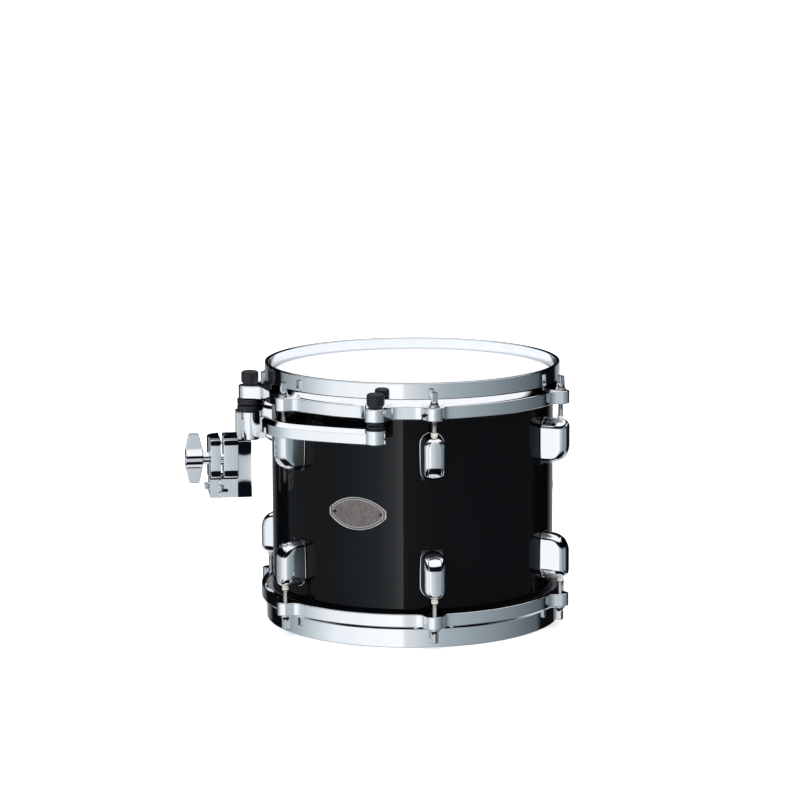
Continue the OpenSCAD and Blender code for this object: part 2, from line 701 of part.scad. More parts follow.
module memory_lock_outer() color(chrome) outwards() difference() {
    union() {
        difference() {
            block(rod_x + lock_split / 2, lock_out, lock_front_y, lock_back_y, lock_bottom, lock_top);
            translate([hinge_x, hinge_y, lock_bottom - 1]) cylinder(h = lock_h + 2, r = hinge_r + 0.5);
            block(rod_x - 5, hinge_x, lock_front_y - 1, hinge_y + hinge_r + 0.5, lock_bottom - 1, lock_top + 1);
        }
        tongue_z = lock_bottom + (lock_h - tongue_h) / 2;
        translate([hinge_x, hinge_y, tongue_z]) cylinder(h = tongue_h, r = hinge_r - 0.1);
        block(hinge_x, hinge_x + hinge_r + 1.5, hinge_y - hinge_r + 0.1, hinge_y + hinge_r - 0.1,
            tongue_z, tongue_z + tongue_h);
    }
    translate([rod_x, rod_y, lock_bottom - 1]) cylinder(h = lock_h + 2, r = bore_r);
    translate([hinge_x, hinge_y, lock_bottom - 1]) cylinder(h = lock_h + 2, r = hinge_pin_r + running_fit);
    translate([0, lock_bolt_y, 0]) radial(rod_x - 1, lock_out + 1, lock_bolt_r + running_fit, lock_bolt_z);
}

module memory_lock_pin() color(steel) outwards() translate([hinge_x, hinge_y, lock_bottom + 0.3])
    cylinder(h = lock_h - 0.6, r = hinge_pin_r);

// A square-headed bolt for a tuning key.
module memory_lock_bolt() color(steel) outwards() translate([0, lock_bolt_y, 0]) {
    radial(lock_nut_x - 1, lock_out + 0.05, lock_bolt_r, lock_bolt_z);
    radial(lock_out + 0.05, lock_out + 1.3, lock_bolt_r + 1.9, lock_bolt_z);
    block(lock_out + 1.2, lock_out + 4, -rod_square / 2, rod_square / 2,
        lock_bolt_z - rod_square / 2, lock_bolt_z + rod_square / 2);
}

module memory_lock_nut() color(steel) outwards() translate([0, lock_bolt_y, 0]) difference() {
    block(lock_nut_x, lock_nut_x + lock_nut_t, -lock_nut_w / 2, lock_nut_w / 2,
        lock_bolt_z - lock_nut_w / 2, lock_bolt_z + lock_nut_w / 2);
    radial(lock_nut_x - 1, lock_nut_x + lock_nut_t + 1, lock_bolt_r + running_fit, lock_bolt_z);
}

shell();
badge_plate();
badge_pins();
vent_grommet();
batter_head_film();
batter_flesh_hoop();
resonant_head_film();
resonant_flesh_hoop();
batter_hoop();
resonant_hoop();
batter_lugs();
resonant_lugs();
lug_gaskets();
lug_screws();
lug_screw_washers();
lug_swivel_nuts();
lug_rod_guides();
rod_washers();
batter_rod(0);  // batter_rod_1
batter_rod(1);  // batter_rod_2
batter_rod(2);  // batter_rod_3
batter_rod(3);  // batter_rod_4
batter_rod(4);  // batter_rod_5
batter_rod(5);  // batter_rod_6
resonant_rod(0);  // resonant_rod_1
resonant_rod(1);  // resonant_rod_2
resonant_rod(2);  // resonant_rod_3
resonant_rod(3);  // resonant_rod_4
resonant_rod(4);  // resonant_rod_5
resonant_rod(5);  // resonant_rod_6
suspension_arm();
lower_grommets();
upper_caps();
suspension_bolts();
suspension_nuts();
clamp_bracket();
bracket_screws();
jaw_guide_pins();
clamp_jaw();
wing_washer();
wing_bolt();
memory_lock_inner();
memory_lock_screws();
memory_lock_outer();
memory_lock_pin();
memory_lock_bolt();
memory_lock_nut();
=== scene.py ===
"""A rack tom drum's looks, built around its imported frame."""
import json
import math

import bmesh
import bpy
from mathutils import Matrix, Quaternion, Vector


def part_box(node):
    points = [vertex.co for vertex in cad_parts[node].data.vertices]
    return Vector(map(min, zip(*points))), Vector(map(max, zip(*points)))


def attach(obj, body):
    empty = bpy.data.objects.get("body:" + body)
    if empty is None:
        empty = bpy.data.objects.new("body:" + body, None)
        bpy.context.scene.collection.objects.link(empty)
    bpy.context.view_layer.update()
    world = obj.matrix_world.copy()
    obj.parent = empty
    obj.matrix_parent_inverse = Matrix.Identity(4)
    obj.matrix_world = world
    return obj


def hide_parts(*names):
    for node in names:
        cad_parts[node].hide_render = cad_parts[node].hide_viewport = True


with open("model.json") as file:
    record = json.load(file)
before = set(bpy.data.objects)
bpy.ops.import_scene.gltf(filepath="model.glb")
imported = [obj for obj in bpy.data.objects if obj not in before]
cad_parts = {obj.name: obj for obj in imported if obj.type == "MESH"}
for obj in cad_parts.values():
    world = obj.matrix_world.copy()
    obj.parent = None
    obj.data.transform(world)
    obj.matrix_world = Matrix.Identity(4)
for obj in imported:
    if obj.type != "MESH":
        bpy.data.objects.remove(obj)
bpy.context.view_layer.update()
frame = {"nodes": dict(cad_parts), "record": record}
nodes = frame["nodes"]

MM = 0.001
# how far the camera stands to the left of straight in front
HEADING = math.radians(7.605)


# ---------------------------------------------------------------- camera

def aim_camera():
    """A long lens at the front, a little to the left, tilted down at the drum's middle."""
    distance, height = 3.38546, 0.81714
    yaw, pitch, roll = -0.003898, 0.170614, 0.0035
    data = bpy.data.cameras.new("camera")
    data.sensor_width = 36.0
    data.lens = 144.01
    data.clip_start = 0.1
    data.clip_end = 100.0
    camera = bpy.data.objects.new("camera", data)
    bpy.context.scene.collection.objects.link(camera)
    camera.location = (-distance * math.sin(HEADING), -distance * math.cos(HEADING), height)
    ahead = Vector((math.sin(yaw) * math.cos(pitch), math.cos(yaw) * math.cos(pitch), -math.sin(pitch)))
    ahead.rotate(Matrix.Rotation(-HEADING, 3, "Z"))
    camera.rotation_mode = "QUATERNION"
    camera.rotation_quaternion = Quaternion(ahead, roll) @ ahead.to_track_quat("-Z", "Y")
    bpy.context.scene.camera = camera


# ---------------------------------------------------------------- materials

def fill_ramp(made, stops):
    """Gives a colour ramp node its stops, each a place and a colour."""
    elements = made.color_ramp.elements
    while len(elements) < len(stops):
        elements.new(0.5)
    for element, (place, colour) in zip(elements, stops):
        element.position = place
        element.color = (*colour, 1)


class Surface:
    """A node material: a principled shader and the textures that feed it."""

    def __init__(self, name, **sockets):
        self.material = bpy.data.materials.new(name)
        self.material.use_nodes = True
        self.tree = self.material.node_tree
        self.shader = self.tree.nodes["Principled BSDF"]
        for socket, value in sockets.items():
            self.shader.inputs[socket.replace("_", " ")].default_value = value
        self.place = self.tree.nodes.new("ShaderNodeTexCoord").outputs["Object"]

    def node(self, kind, **settings):
        made = self.tree.nodes.new(kind)
        for key, value in settings.items():
            setattr(made, key, value)
        return made

    def link(self, source, target):
        self.tree.links.new(source, target)

    def noise(self, scale, detail=2.0, roughness=0.5, stretch=(1, 1, 1)):
        """Noise at a scale in cycles per metre, stretched along the axes."""
        spread = self.node("ShaderNodeMapping")
        spread.inputs["Scale"].default_value = stretch
        self.link(self.place, spread.inputs["Vector"])
        made = self.node("ShaderNodeTexNoise")
        made.inputs["Scale"].default_value = scale
        made.inputs["Detail"].default_value = detail
        made.inputs["Roughness"].default_value = roughness
        self.link(spread.outputs["Vector"], made.inputs["Vector"])
        return made.outputs["Fac"]

    def colour(self, source, stops):
        """Base colour from a source between 0 and 1."""
        made = self.node("ShaderNodeValToRGB")
        fill_ramp(made, stops)
        self.link(source, made.inputs["Fac"])
        self.link(made.outputs["Color"], self.shader.inputs["Base Color"])

    def roughness(self, source, low, high):
        """Roughness that runs from low to high over the source's middle range."""
        spread = self.node("ShaderNodeMapRange")
        for key, value in zip(("From Min", "From Max", "To Min", "To Max"), (0.3, 0.7, low, high)):
            spread.inputs[key].default_value = value
        self.link(source, spread.inputs["Value"])
        self.link(spread.outputs["Result"], self.shader.inputs["Roughness"])

    def bump(self, source, depth, strength):
        """Relief of a depth in metres."""
        made = self.node("ShaderNodeBump")
        made.inputs["Strength"].default_value = strength
        made.inputs["Distance"].default_value = depth
        self.link(source, made.inputs["Height"])
        self.link(made.outputs["Normal"], self.shader.inputs["Normal"])


def chrome():
    made = Surface("chrome", Metallic=1.0)
    made.colour(made.noise(60), [(0.3, (0.86, 0.88, 0.90)), (0.7, (0.90, 0.915, 0.93))])
    made.roughness(made.noise(240, 4), 0.03, 0.075)
    made.bump(made.noise(35, 2), 0.00004, 0.35)
    return made.material


def plated_steel():
    made = Surface("plated_steel", Metallic=1.0)
    made.colour(made.noise(500, 3), [(0.3, (0.66, 0.66, 0.67)), (0.7, (0.76, 0.76, 0.77))])
    made.roughness(made.noise(900, 4), 0.1, 0.2)
    made.bump(made.noise(900, 3), 0.000008, 0.3)
    return made.material


def black_lacquer():
    made = Surface("black_lacquer", IOR=1.19)
    made.colour(made.noise(9, 3), [(0.3, (0.0016, 0.0019, 0.0024)), (0.7, (0.0024, 0.0026, 0.0032))])
    made.roughness(made.noise(120, 3), 0.035, 0.06)
    made.bump(made.noise(420, 2), 0.000012, 0.25)
    return made.material


def white_film():
    made = Surface("white_film", IOR=1.45)
    made.colour(made.noise(14, 3), [(0.3, (0.80, 0.83, 0.87)), (0.7, (0.84, 0.865, 0.90))])
    made.roughness(made.noise(700, 4), 0.42, 0.6)
    made.bump(made.noise(2600, 4, 0.65), 0.00006, 0.5)
    return made.material


def moulded(name, low, high, rough, grain, depth):
    """A moulded plastic or rubber with a fine grain."""
    made = Surface(name)
    made.colour(made.noise(grain / 8, 3), [(0.3, low), (0.7, high)])
    made.roughness(made.noise(grain, 3), rough - 0.06, rough + 0.08)
    made.bump(made.noise(grain * 1.5, 4), depth, 0.5)
    return made.material


def machined(name, low, high, rough):
    """A turned or rolled metal, finely scored."""
    made = Surface(name, Metallic=1.0)
    made.colour(made.noise(300, 3), [(0.3, low), (0.7, high)])
    made.roughness(made.noise(800, 3), rough - 0.05, rough + 0.07)
    made.bump(made.noise(1200, 3, stretch=(1, 1, 12)), 0.00002, 0.5)
    return made.material


FINISHES = {
    "chrome": chrome(),
    "plated_steel": plated_steel(),
    "black_lacquer": black_lacquer(),
    "white_film": white_film(),
    "mount_rubber": moulded(
        "mount_rubber", (0.004, 0.005, 0.008), (0.009, 0.011, 0.016), 0.42, 1800, 0.00006),
    "gasket_rubber": moulded(
        "gasket_rubber", (0.015, 0.015, 0.016), (0.028, 0.028, 0.03), 0.6, 1500, 0.00005),
    "nylon": moulded("nylon", (0.66, 0.62, 0.54), (0.78, 0.74, 0.67), 0.4, 1400, 0.00003),
    "dark_pins": moulded("dark_pins", (0.006, 0.006, 0.006), (0.014, 0.013, 0.012), 0.35, 1500, 0.00003),
    "badge_metal": machined("badge_metal", (0.16, 0.14, 0.135), (0.24, 0.215, 0.205), 0.3),
    "head_aluminium": machined("head_aluminium", (0.66, 0.67, 0.68), (0.76, 0.77, 0.78), 0.28),
    "nut_brass": machined("nut_brass", (0.56, 0.42, 0.22), (0.68, 0.54, 0.3), 0.28),
}


def finish_nodes():
    """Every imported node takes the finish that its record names."""
    for part in frame["record"]["subparts"]:
        piece = nodes[part["node"]]
        piece.data.materials.clear()
        piece.data.materials.append(FINISHES[part["material_slot"]])


# ---------------------------------------------------------------- mesh tools

def grid_faces(rows, columns, wrap_rows=False, wrap_columns=True):
    """Quads over rows of points laid one after another."""
    faces = []
    for i in range(rows if wrap_rows else rows - 1):
        for j in range(columns if wrap_columns else columns - 1):
            k, m = (i + 1) % rows, (j + 1) % columns
            faces.append((i * columns + j, i * columns + m, k * columns + m, k * columns + j))
    return faces


class Shape:
    """Points in millimetres in the drum's frame, and the faces between them."""

    def __init__(self):
        self.points = []
        self.faces = []

    def loft(self, rings, wrap_rings=False, cap_ends=False):
        """A skin over closed rings of equal length."""
        first = len(self.points)
        count = len(rings[0])
        self.points += [tuple(point) for ring in rings for point in ring]
        for face in grid_faces(len(rings), count, wrap_rings):
            self.faces.append(tuple(first + i for i in face))
        if cap_ends:
            last = first + (len(rings) - 1) * count
            self.faces.append(tuple(first + i for i in reversed(range(count))))
            self.faces.append(tuple(last + i for i in range(count)))
        return self

    def lathe(self, outline, axis=(0, 0), steps=64):
        """A closed outline of (radius, z) turned about an upright axis."""
        rings = []
        for i in range(steps):
            c, s = math.cos(2 * math.pi * i / steps), math.sin(2 * math.pi * i / steps)
            rings.append([(axis[0] + r * c, axis[1] + r * s, z) for r, z in outline])
        return self.loft(rings, wrap_rings=True)

    def moved(self, change):
        self.points = [change(*point) for point in self.points]
        return self

    def flipped(self):
        """Turns every face over, after a mirroring."""
        self.faces = [tuple(reversed(face)) for face in self.faces]
        return self

    def add(self, other):
        first = len(self.points)
        self.points += other.points
        self.faces += [tuple(first + i for i in face) for face in other.faces]
        return self


def arc(cx, cy, radius, start, end, steps):
    """Points on an arc, between two angles in degrees."""
    points = []
    for i in range(steps + 1):
        a = math.radians(start + (end - start) * i / steps)
        points.append((cx + radius * math.cos(a), cy + radius * math.sin(a)))
    return points


def rounded(corners, radius, steps=4):
    """A polygon with its corners rounded, each by up to the radius."""
    outline = []
    count = len(corners)
    for i, here in enumerate(corners):
        here = Vector(here[:2])
        before, after = Vector(corners[i - 1][:2]), Vector(corners[(i + 1) % count][:2])
        own = corners[i][2] if len(corners[i]) > 2 else radius
        to_before, to_after = (before - here), (after - here)
        turn = to_before.angle(to_after)
        if own <= 0 or turn > math.radians(178) or turn < 0.01:
            outline.append(tuple(here))
            continue
        reach = min(own / math.tan(turn / 2), 0.49 * to_before.length, 0.49 * to_after.length)
        start, end = here + to_before.normalized() * reach, here + to_after.normalized() * reach
        for k in range(steps + 1):
            t = k / steps
            outline.append(tuple(start * (1 - t) ** 2 + here * 2 * t * (1 - t) + end * t ** 2))
    return outline


def offset_inwards(outline, distance):
    """A counterclockwise outline moved in along its normals."""
    moved = []
    count = len(outline)
    for i, here in enumerate(outline):
        before, after = Vector(outline[i - 1]), Vector(outline[(i + 1) % count])
        along = (after - before).normalized()
        moved.append((here[0] - along.y * distance, here[1] + along.x * distance))
    return moved


def slab(outline, z0, z1, edge, place):
    """A counterclockwise outline given a thickness and round edges; place puts (x, y, z) in the drum's frame."""
    inset = offset_inwards(outline, edge * 0.3)
    deep = offset_inwards(outline, edge)
    levels = [
        (deep, z0), (inset, z0 + edge * 0.3), (outline, z0 + edge),
        (outline, z1 - edge), (inset, z1 - edge * 0.3), (deep, z1),
    ]
    shape = Shape().loft([[(x, y, z) for x, y in ring] for ring, z in levels], cap_ends=True)
    return shape.moved(place)


# points closer than this are one point
SAME_POINT = 0.002


def piece(name, shape, finish, body, *replaced, crease=38):
    """A mesh object in the drum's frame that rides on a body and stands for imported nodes."""
    data = bpy.data.meshes.new(name)
    data.from_pydata([(x * MM, y * MM, z * MM) for x, y, z in shape.points], [], shape.faces)
    data.validate()
    joined = bmesh.new()
    joined.from_mesh(data)
    bmesh.ops.remove_doubles(joined, verts=joined.verts, dist=SAME_POINT * MM)
    bmesh.ops.recalc_face_normals(joined, faces=joined.faces)
    joined.to_mesh(data)
    joined.free()
    data.polygons.foreach_set("use_smooth", [True] * len(data.polygons))
    data.set_sharp_from_angle(angle=math.radians(crease))
    data.materials.append(FINISHES[finish])
    made = bpy.data.objects.new(name, data)
    bpy.context.scene.collection.objects.link(made)
    made.modifiers.new("even shading", "WEIGHTED_NORMAL").keep_sharp = True
    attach(made, body)
    if replaced:
        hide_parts(*replaced)
    return made


# ---------------------------------------------------------------- sizes from the frame, in millimetres

def span(node):
    """A node's lowest and highest corner in millimetres."""
    low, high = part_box(node)
    return low / MM, high / MM


def polar(radius, angle, z=None):
    """A point at a radius and an angle from +X, in plan or with its height."""
    a = math.radians(angle)
    flat = (radius * math.cos(a), radius * math.sin(a))
    return flat if z is None else (*flat, z)


TOP = span("batter_hoop")[1].z
SHELL_R = span("shell")[1].x
ROD_ANGLES = [-90 + 60 * i for i in range(6)]
ROD_R = 169.0
MOUNT_R = 174.5
MOUNT_SPREAD = 70
MOUNT_ANGLES = (180 - MOUNT_SPREAD, 180, 180 + MOUNT_SPREAD)


def from_batter_rim(x, y, z):
    """What is drawn up from the lower rim's edge, turned over for the upper one."""
    return (x, y, TOP - z)


def turned(angle):
    """Turns a point about the drum's axis."""
    c, s = math.cos(math.radians(angle)), math.sin(math.radians(angle))
    return lambda x, y, z: (x * c - y * s, x * s + y * c, z)


# ---------------------------------------------------------------- hoops

# heights run from the rim's edge
RIM_IN = 153.3
RIM_OUT = 158.0
FLANGE_R = span("batter_hoop")[1].x
CHANNEL_R = 158.5
CHANNEL_END = 26.0
EAR_TOP = 23.0
EAR_END = span("resonant_hoop")[1].z
EDGE = 1.0
EAR_FLARE = 3.4
EAR_FILLET = 12.0
TENSION_EAR_R = 9.3
MOUNT_EAR_R = 12.3
BATTER_SHOULDER = 15.9
RESONANT_SHOULDER = 19.4


def round_ear(angle, reach, radius):
    """The corners of an ear that ends in an arc and flares into the flange, each with its rounding."""
    half_arc = 56
    root, side = FLANGE_R + 0.1, radius + EAR_FLARE
    corners = [(root, -side, EAR_FILLET)]
    corners += [(reach + x, y, 0) for x, y in arc(0, 0, radius, -half_arc, half_arc, 18)]
    corners += [(root, side, EAR_FILLET)]
    turn = turned(angle)
    return [turn(*corner) for corner in corners]


def hoop_outline(ears):
    """The flange's outline with its ears, counterclockwise, each point with its outward normal."""
    corners = []
    ears = sorted(ears)
    clear = EAR_FLARE + 9.0
    for i, (angle, reach, radius) in enumerate(ears):
        corners += round_ear(angle, reach, radius)
        next_angle, _, next_radius = ears[(i + 1) % len(ears)]
        if i + 1 == len(ears):
            next_angle += 360
        start = angle + math.degrees((radius + clear) / FLANGE_R)
        end = next_angle - math.degrees((next_radius + clear) / FLANGE_R)
        steps = max(2, round((end - start) / 1.2))
        corners += [polar(FLANGE_R, start + (end - start) * k / steps) for k in range(steps + 1)]
    outline = rounded(corners, 0)
    count = len(outline)
    made = []
    for i, here in enumerate(outline):
        along = (Vector(outline[(i + 1) % count]) - Vector(outline[i - 1])).normalized()
        made.append((Vector(here), Vector((along.y, -along.x))))
    return made


def hoop(ears, shoulder):
    """A cast hoop from its rim's edge at z = 0: rim wall, sloping shoulder, flange and ears."""
    lip = 0.9
    wall = [(RIM_IN, CHANNEL_END), (RIM_IN, 8.0)]
    wall += arc(RIM_IN + lip, lip, lip, 180, 270, 5)
    wall += arc(RIM_OUT - lip, lip, lip, 270, 360, 5)
    wall += [(RIM_OUT, 9.0), (RIM_OUT, shoulder)]
    slope_out, slope_up = 4.2, EAR_TOP - 1.3 - shoulder
    hollow = ((0.04, 0.14), (0.12, 0.24), (0.24, 0.34), (1.0, 1.0))
    wall += [(RIM_OUT + slope_out * out, shoulder + slope_up * up) for out, up in hollow]
    rounding = [(1.0, 0.0), (0.55, 0.15), (0.2, 0.45), (0.0, 1.0)]
    rings = []
    for point, normal in hoop_outline(ears):
        inwards = point.normalized()
        ring = [(*(inwards * r), e) for r, e in wall]
        ring += [(*(point - normal * o * EDGE), EAR_TOP + d * EDGE) for o, d in rounding]
        ring += [(*(point - normal * o * EDGE), EAR_END - d * EDGE) for o, d in reversed(rounding)]
        ring += [(*(inwards * CHANNEL_R), EAR_END), (*(inwards * CHANNEL_R), CHANNEL_END)]
        rings.append(ring)
    return Shape().loft(rings, wrap_rings=True)


def make_hoops():
    """The batter hoop has three more ears than the resonant one, for the mount."""
    tension = [(angle % 360, ROD_R, TENSION_EAR_R) for angle in ROD_ANGLES]
    mounts = [(angle, MOUNT_R, MOUNT_EAR_R) for angle in MOUNT_ANGLES]
    batter = hoop(tension + mounts, BATTER_SHOULDER).moved(from_batter_rim)
    piece("batter_hoop_cast", batter, "chrome", "drum", "batter_hoop")
    piece("resonant_hoop_cast", hoop(tension, RESONANT_SHOULDER), "chrome", "drum", "resonant_hoop")


# ---------------------------------------------------------------- lugs

LUG_W = 23.0
LUG_START = span("resonant_lugs")[0].z
LUG_H = span("resonant_lugs")[1].z - LUG_START
# from the drum's axis to the gasket under the lug and to the lug's front
LUG_FOOT = span("lug_gaskets")[1].y
LUG_OUT = span("resonant_lugs")[1].y
# how the front falls away towards the far end and at the rod end
LUG_CURVE = 20.5
LUG_NOSE = 9.0
# how far the front's edges lie below its middle
LUG_CROWN = 2.4


def lug_side(inset):
    """Seen from the front, the right half of the outline: from the arch's top to the far end's middle."""
    half = LUG_W / 2
    far = LUG_H - inset
    corner, end_bow, steps = max(7.0 - inset, 1.2), 0.9, 14
    points = [(x, half + y) for x, y in arc(0, 0, half - inset, 270, 360, steps)]
    points += [(half - inset, half + (far - corner - half) * i / steps) for i in range(1, steps)]
    points += arc(half - inset - corner, far - end_bow - corner, corner, 0, 82, 8)
    edge = points[-1][0]
    points += [(edge * (1 - i / 4), far - end_bow + end_bow * (i / 4)) for i in range(1, 5)]
    return points


def lug_stand(v):
    """How far the front stands off the foot at a distance from the rod end."""
    full = LUG_OUT - LUG_FOOT
    nose_length = 6.5
    nose = max(nose_length - v, 0)
    fall = min(max(v - (LUG_H - LUG_CURVE), 0), LUG_CURVE)
    drop = LUG_NOSE - math.sqrt(LUG_NOSE ** 2 - nose ** 2)
    return full - drop - (LUG_CURVE - math.sqrt(LUG_CURVE ** 2 - fall ** 2))


def lug_bands():
    """Rings from the foot to the front: inset from the outline, depth below the front, base flare.

    A depth of None lies on the foot.
    """
    bevel, depth = 4.2, 5.9
    bands = [(0.0, None, 1.4), (0.0, 24.5, 1.4), (0.0, 23.8, 1.0)]
    bands += [(0.0, 18.0, 0.55), (0.0, 11.0, 0.15), (0.0, 7.4, 0.0)]
    for k in range(8):
        a = math.radians(90 * k / 7)
        bands.append((0.15 + bevel * (1 - math.cos(a)), 0.9 + depth * (1 - math.sin(a)), 0.0))
    return bands + [(4.5, 0.85, 0.0), (4.7, 0.4, 0.0), (5.2, 0.12, 0.0)]


def lug():
    """One lug at angle 0, drawn up from the lower rim's edge."""
    half = LUG_W / 2

    def place(u, v, below):
        foot = math.sqrt(LUG_FOOT ** 2 - u ** 2)
        stand = lug_stand(min(max(v, 0), LUG_H)) - LUG_CROWN * (u / half) ** 2
        out = foot if below is None else max(LUG_FOOT + stand - below, foot + 0.6)
        return (out, u, LUG_START + v)

    rings = []
    bands = lug_bands()
    for inset, below, flare in bands:
        side = []
        for u, v in lug_side(inset):
            spread = flare * (1 - (v / LUG_H) ** 3)
            side.append((u * (1 + spread / half), v - spread * max(1 - v / half, 0)))
        whole = side + [(-u, v) for u, v in reversed(side[1:-1])]
        rings.append([place(u, v, below) for u, v in whole])
    shape = Shape().loft(rings)
    # the front panel, in rows across, a touch lower at its edges
    side = lug_side(bands[-1][0])
    columns = 12
    across = [1 - 2 * k / columns for k in range(columns + 1)]
    first = len(shape.points)
    for u, v in side:
        shape.points += [place(u * share, v, 0.1 * share ** 6) for share in across]
    front = grid_faces(len(side), columns + 1, wrap_columns=False)
    shape.faces += [tuple(first + i for i in face) for face in front]
    return shape


def make_lugs():
    """Both heads' lugs, each head's as one piece."""
    lower, upper = Shape(), Shape()
    for angle in ROD_ANGLES:
        lower.add(lug().moved(turned(angle)))
        upper.add(lug().moved(turned(angle)).moved(from_batter_rim))
    piece("resonant_lug_castings", lower, "chrome", "drum", "resonant_lugs", crease=50)
    piece("batter_lug_castings", upper, "chrome", "drum", "batter_lugs", crease=50)


# ---------------------------------------------------------------- tension rods

def square_ring(width, z, turn, corner):
    """A rounded square turned about the origin."""
    half = width / 2
    points = []
    for k in range(4):
        for x, y in arc(half - corner, half - corner, corner, 0, 90, 5):
            points.append(tuple(Matrix.Rotation(math.radians(90 * k + turn), 2) @ Vector((x, y))) + (z,))
    return points


def rod(turn):
    """A tension rod on the origin's axis: square head, flange and threaded shank, from z = 0 at the rim."""
    head, flange, radius = 6.2, 5.25, 2.75
    head_end, seat, tip = 7.2, 21.75, 74.0
    pitch, depth, thread_start, thread_end = 1.06, 0.34, 36.0, 56.0
    sides, rings_a_turn = 16, 6
    around = [360 * i / sides for i in range(sides)]
    shape = Shape()
    shape.loft([
        square_ring(head - 1.6, head_end, turn, 1.4), square_ring(head - 0.5, head_end + 0.25, turn, 1.0),
        square_ring(head, head_end + 0.9, turn, 0.8), square_ring(head, seat - 3.4, turn, 0.8),
    ], cap_ends=True)
    dome = [(0.01, seat - 5.2), (3.1, seat - 5.2), (3.5, seat - 4.4), (4.2, seat - 2.9), (4.5, seat - 1.8)]
    dome += [(5.0, seat - 1.6), (flange, seat - 1.1)]
    dome += [(flange, seat - 0.25), (flange - 0.3, seat), (0.01, seat)]
    shape.lathe(dome, steps=32)
    rings = [[polar(radius, angle, z) for angle in around] for z in (seat - 0.1, thread_start - 0.6)]
    steps = int((thread_end - thread_start) / pitch * rings_a_turn)
    for k in range(steps + 1):
        z = thread_start + (thread_end - thread_start) * k / steps
        ring = []
        for angle in around:
            phase = (z / pitch - angle / 360) % 1
            ring.append(polar(radius - depth * abs(2 * phase - 1), angle, z))
        rings.append(ring)
    rings.append([polar(radius - depth, angle, tip) for angle in around])
    return shape.loft(rings, cap_ends=True)


def make_rods():
    """Twelve rods, each with its head turned a little differently."""
    for side, over, start in (("batter", True, 10), ("resonant", False, 41)):
        for i, angle in enumerate(ROD_ANGLES):
            x, y = polar(ROD_R, angle)
            shape = rod(start + 17 * i)
            shape.moved(lambda a, b, c: (a + x, b + y, c))
            if over:
                shape.moved(from_batter_rim)
            name = f"{side}_rod_{i + 1}"
            piece(name + "_threaded", shape, "plated_steel", name, name)


def make_guides():
    """The nylon bush that stands out of each lug around its rod."""
    bore, neck, collar, low, collar_end, high = 2.95, 3.2, 3.5, 49.6, 52.4, 60.0
    outline = [(bore, low), (neck, low), (collar, low + 0.3), (collar, collar_end)]
    outline += [(neck, collar_end + 0.4), (neck, high), (bore, high)]
    shape = Shape()
    for angle in ROD_ANGLES:
        for over in (False, True):
            bush = Shape().lathe(outline, polar(ROD_R, angle), 24)
            shape.add(bush.moved(from_batter_rim) if over else bush)
    piece("rod_guides", shape, "nylon", "drum", "lug_rod_guides")


# ---------------------------------------------------------------- suspension

ARM_H = 15.5
ARM_HIGH = span("suspension_arm")[1].z
ARM_LOW = ARM_HIGH - ARM_H
# the angle from the middle boss at which the band begins
ARM_ROOT = 24.5
BOSS_LOW = span("suspension_arm")[0].z
BOSS_HIGH = span("lower_grommets")[0].z
# the flat that the clamp is screwed to, in front of the middle boss
PAD_FACE = -span("suspension_arm")[0].x
PAD_LOW = 199.2
PAD_HIGH = 219.2
PAD_HALF_W = 7.0


def ease(t):
    """Runs smoothly from 0 to 1."""
    t = min(max(t, 0), 1)
    return t * t * (3 - 2 * t)


def band_edges(a):
    """The arm's outer and inner radius, where it swings round the lug beside the mount."""
    plain, swing, swing_at, swing_width = 182.5, 9.5, 36, 13.2
    outer = plain + swing * math.exp(-(((a - swing_at) / swing_width) ** 2))
    root_t, more_t, widens_over = 8, 5.5, 20
    return outer, outer - root_t - more_t * ease((a - ARM_ROOT) / widens_over)


def band_section(outer, inner, low, high, shoulder):
    """An upright wall outside, a sloping shoulder above it, as (radius, z)."""
    corners = [
        (inner, low, 0.8), (outer, low, 0.9), (outer, high - shoulder, 0.5),
        (outer - shoulder * 0.85, high, 0.9), (inner, high, 0.9),
    ]
    return rounded(corners, 1.0, 3)


def arm_band():
    """The curved band from near the middle boss to the end boss, its free end rounded."""
    rings = []
    steps = 44
    round_end, end_depth, shoulder = 3.0, 2.2, 4.6
    for i in range(steps + 1):
        a = ARM_ROOT + (MOUNT_SPREAD - ARM_ROOT) * i / steps
        outer, inner = band_edges(a)
        along = math.radians(a - ARM_ROOT) * outer
        t = min(along / round_end, 1)
        pull = (1 - math.sqrt(1 - (1 - t) ** 2)) * end_depth
        low, high = ARM_LOW + pull * 0.6, ARM_HIGH - pull
        section = band_section(outer - pull, inner + pull * 0.5, low, high, shoulder)
        rings.append([(*polar(r, a), z) for r, z in section])
    return Shape().loft(rings, cap_ends=True)


def arm_neck():
    """The neck drops from the band's root and runs in behind the middle boss."""
    behind, half_w, neck_low = 163.5, 4.2, BOSS_LOW + 2.0
    start, bend, end = Vector(polar(182.9, ARM_ROOT)), Vector((behind, 26)), Vector((behind, 0))
    corners = [(-half_w, 0), (half_w, 0), (half_w, ARM_H), (-half_w, ARM_H)]
    rings = []
    steps = 18
    for i in range(steps + 1):
        t = i / steps
        here = start * (1 - t) ** 2 + bend * 2 * t * (1 - t) + end * t ** 2
        along = ((bend - start) * 2 * (1 - t) + (end - bend) * 2 * t).normalized()
        side = Vector((along.y, -along.x))
        low = ARM_LOW - (ARM_LOW - neck_low) * ease(t * 1.15)
        rings.append([(*(here + side * w), low + h) for w, h in rounded(corners, 1.6, 3)])
    return Shape().loft(rings, cap_ends=True)


def round_post(x, y, radius, low, high, shoulder=1.0):
    """An upright boss with softened edges."""
    outline = [(0.01, low), (radius - 0.8, low), (radius, low + 0.8), (radius, high - shoulder)]
    outline += [(radius - shoulder * 0.3, high - shoulder * 0.3), (radius - shoulder, high), (0.01, high)]
    return Shape().lathe(outline, (x, y), 48)


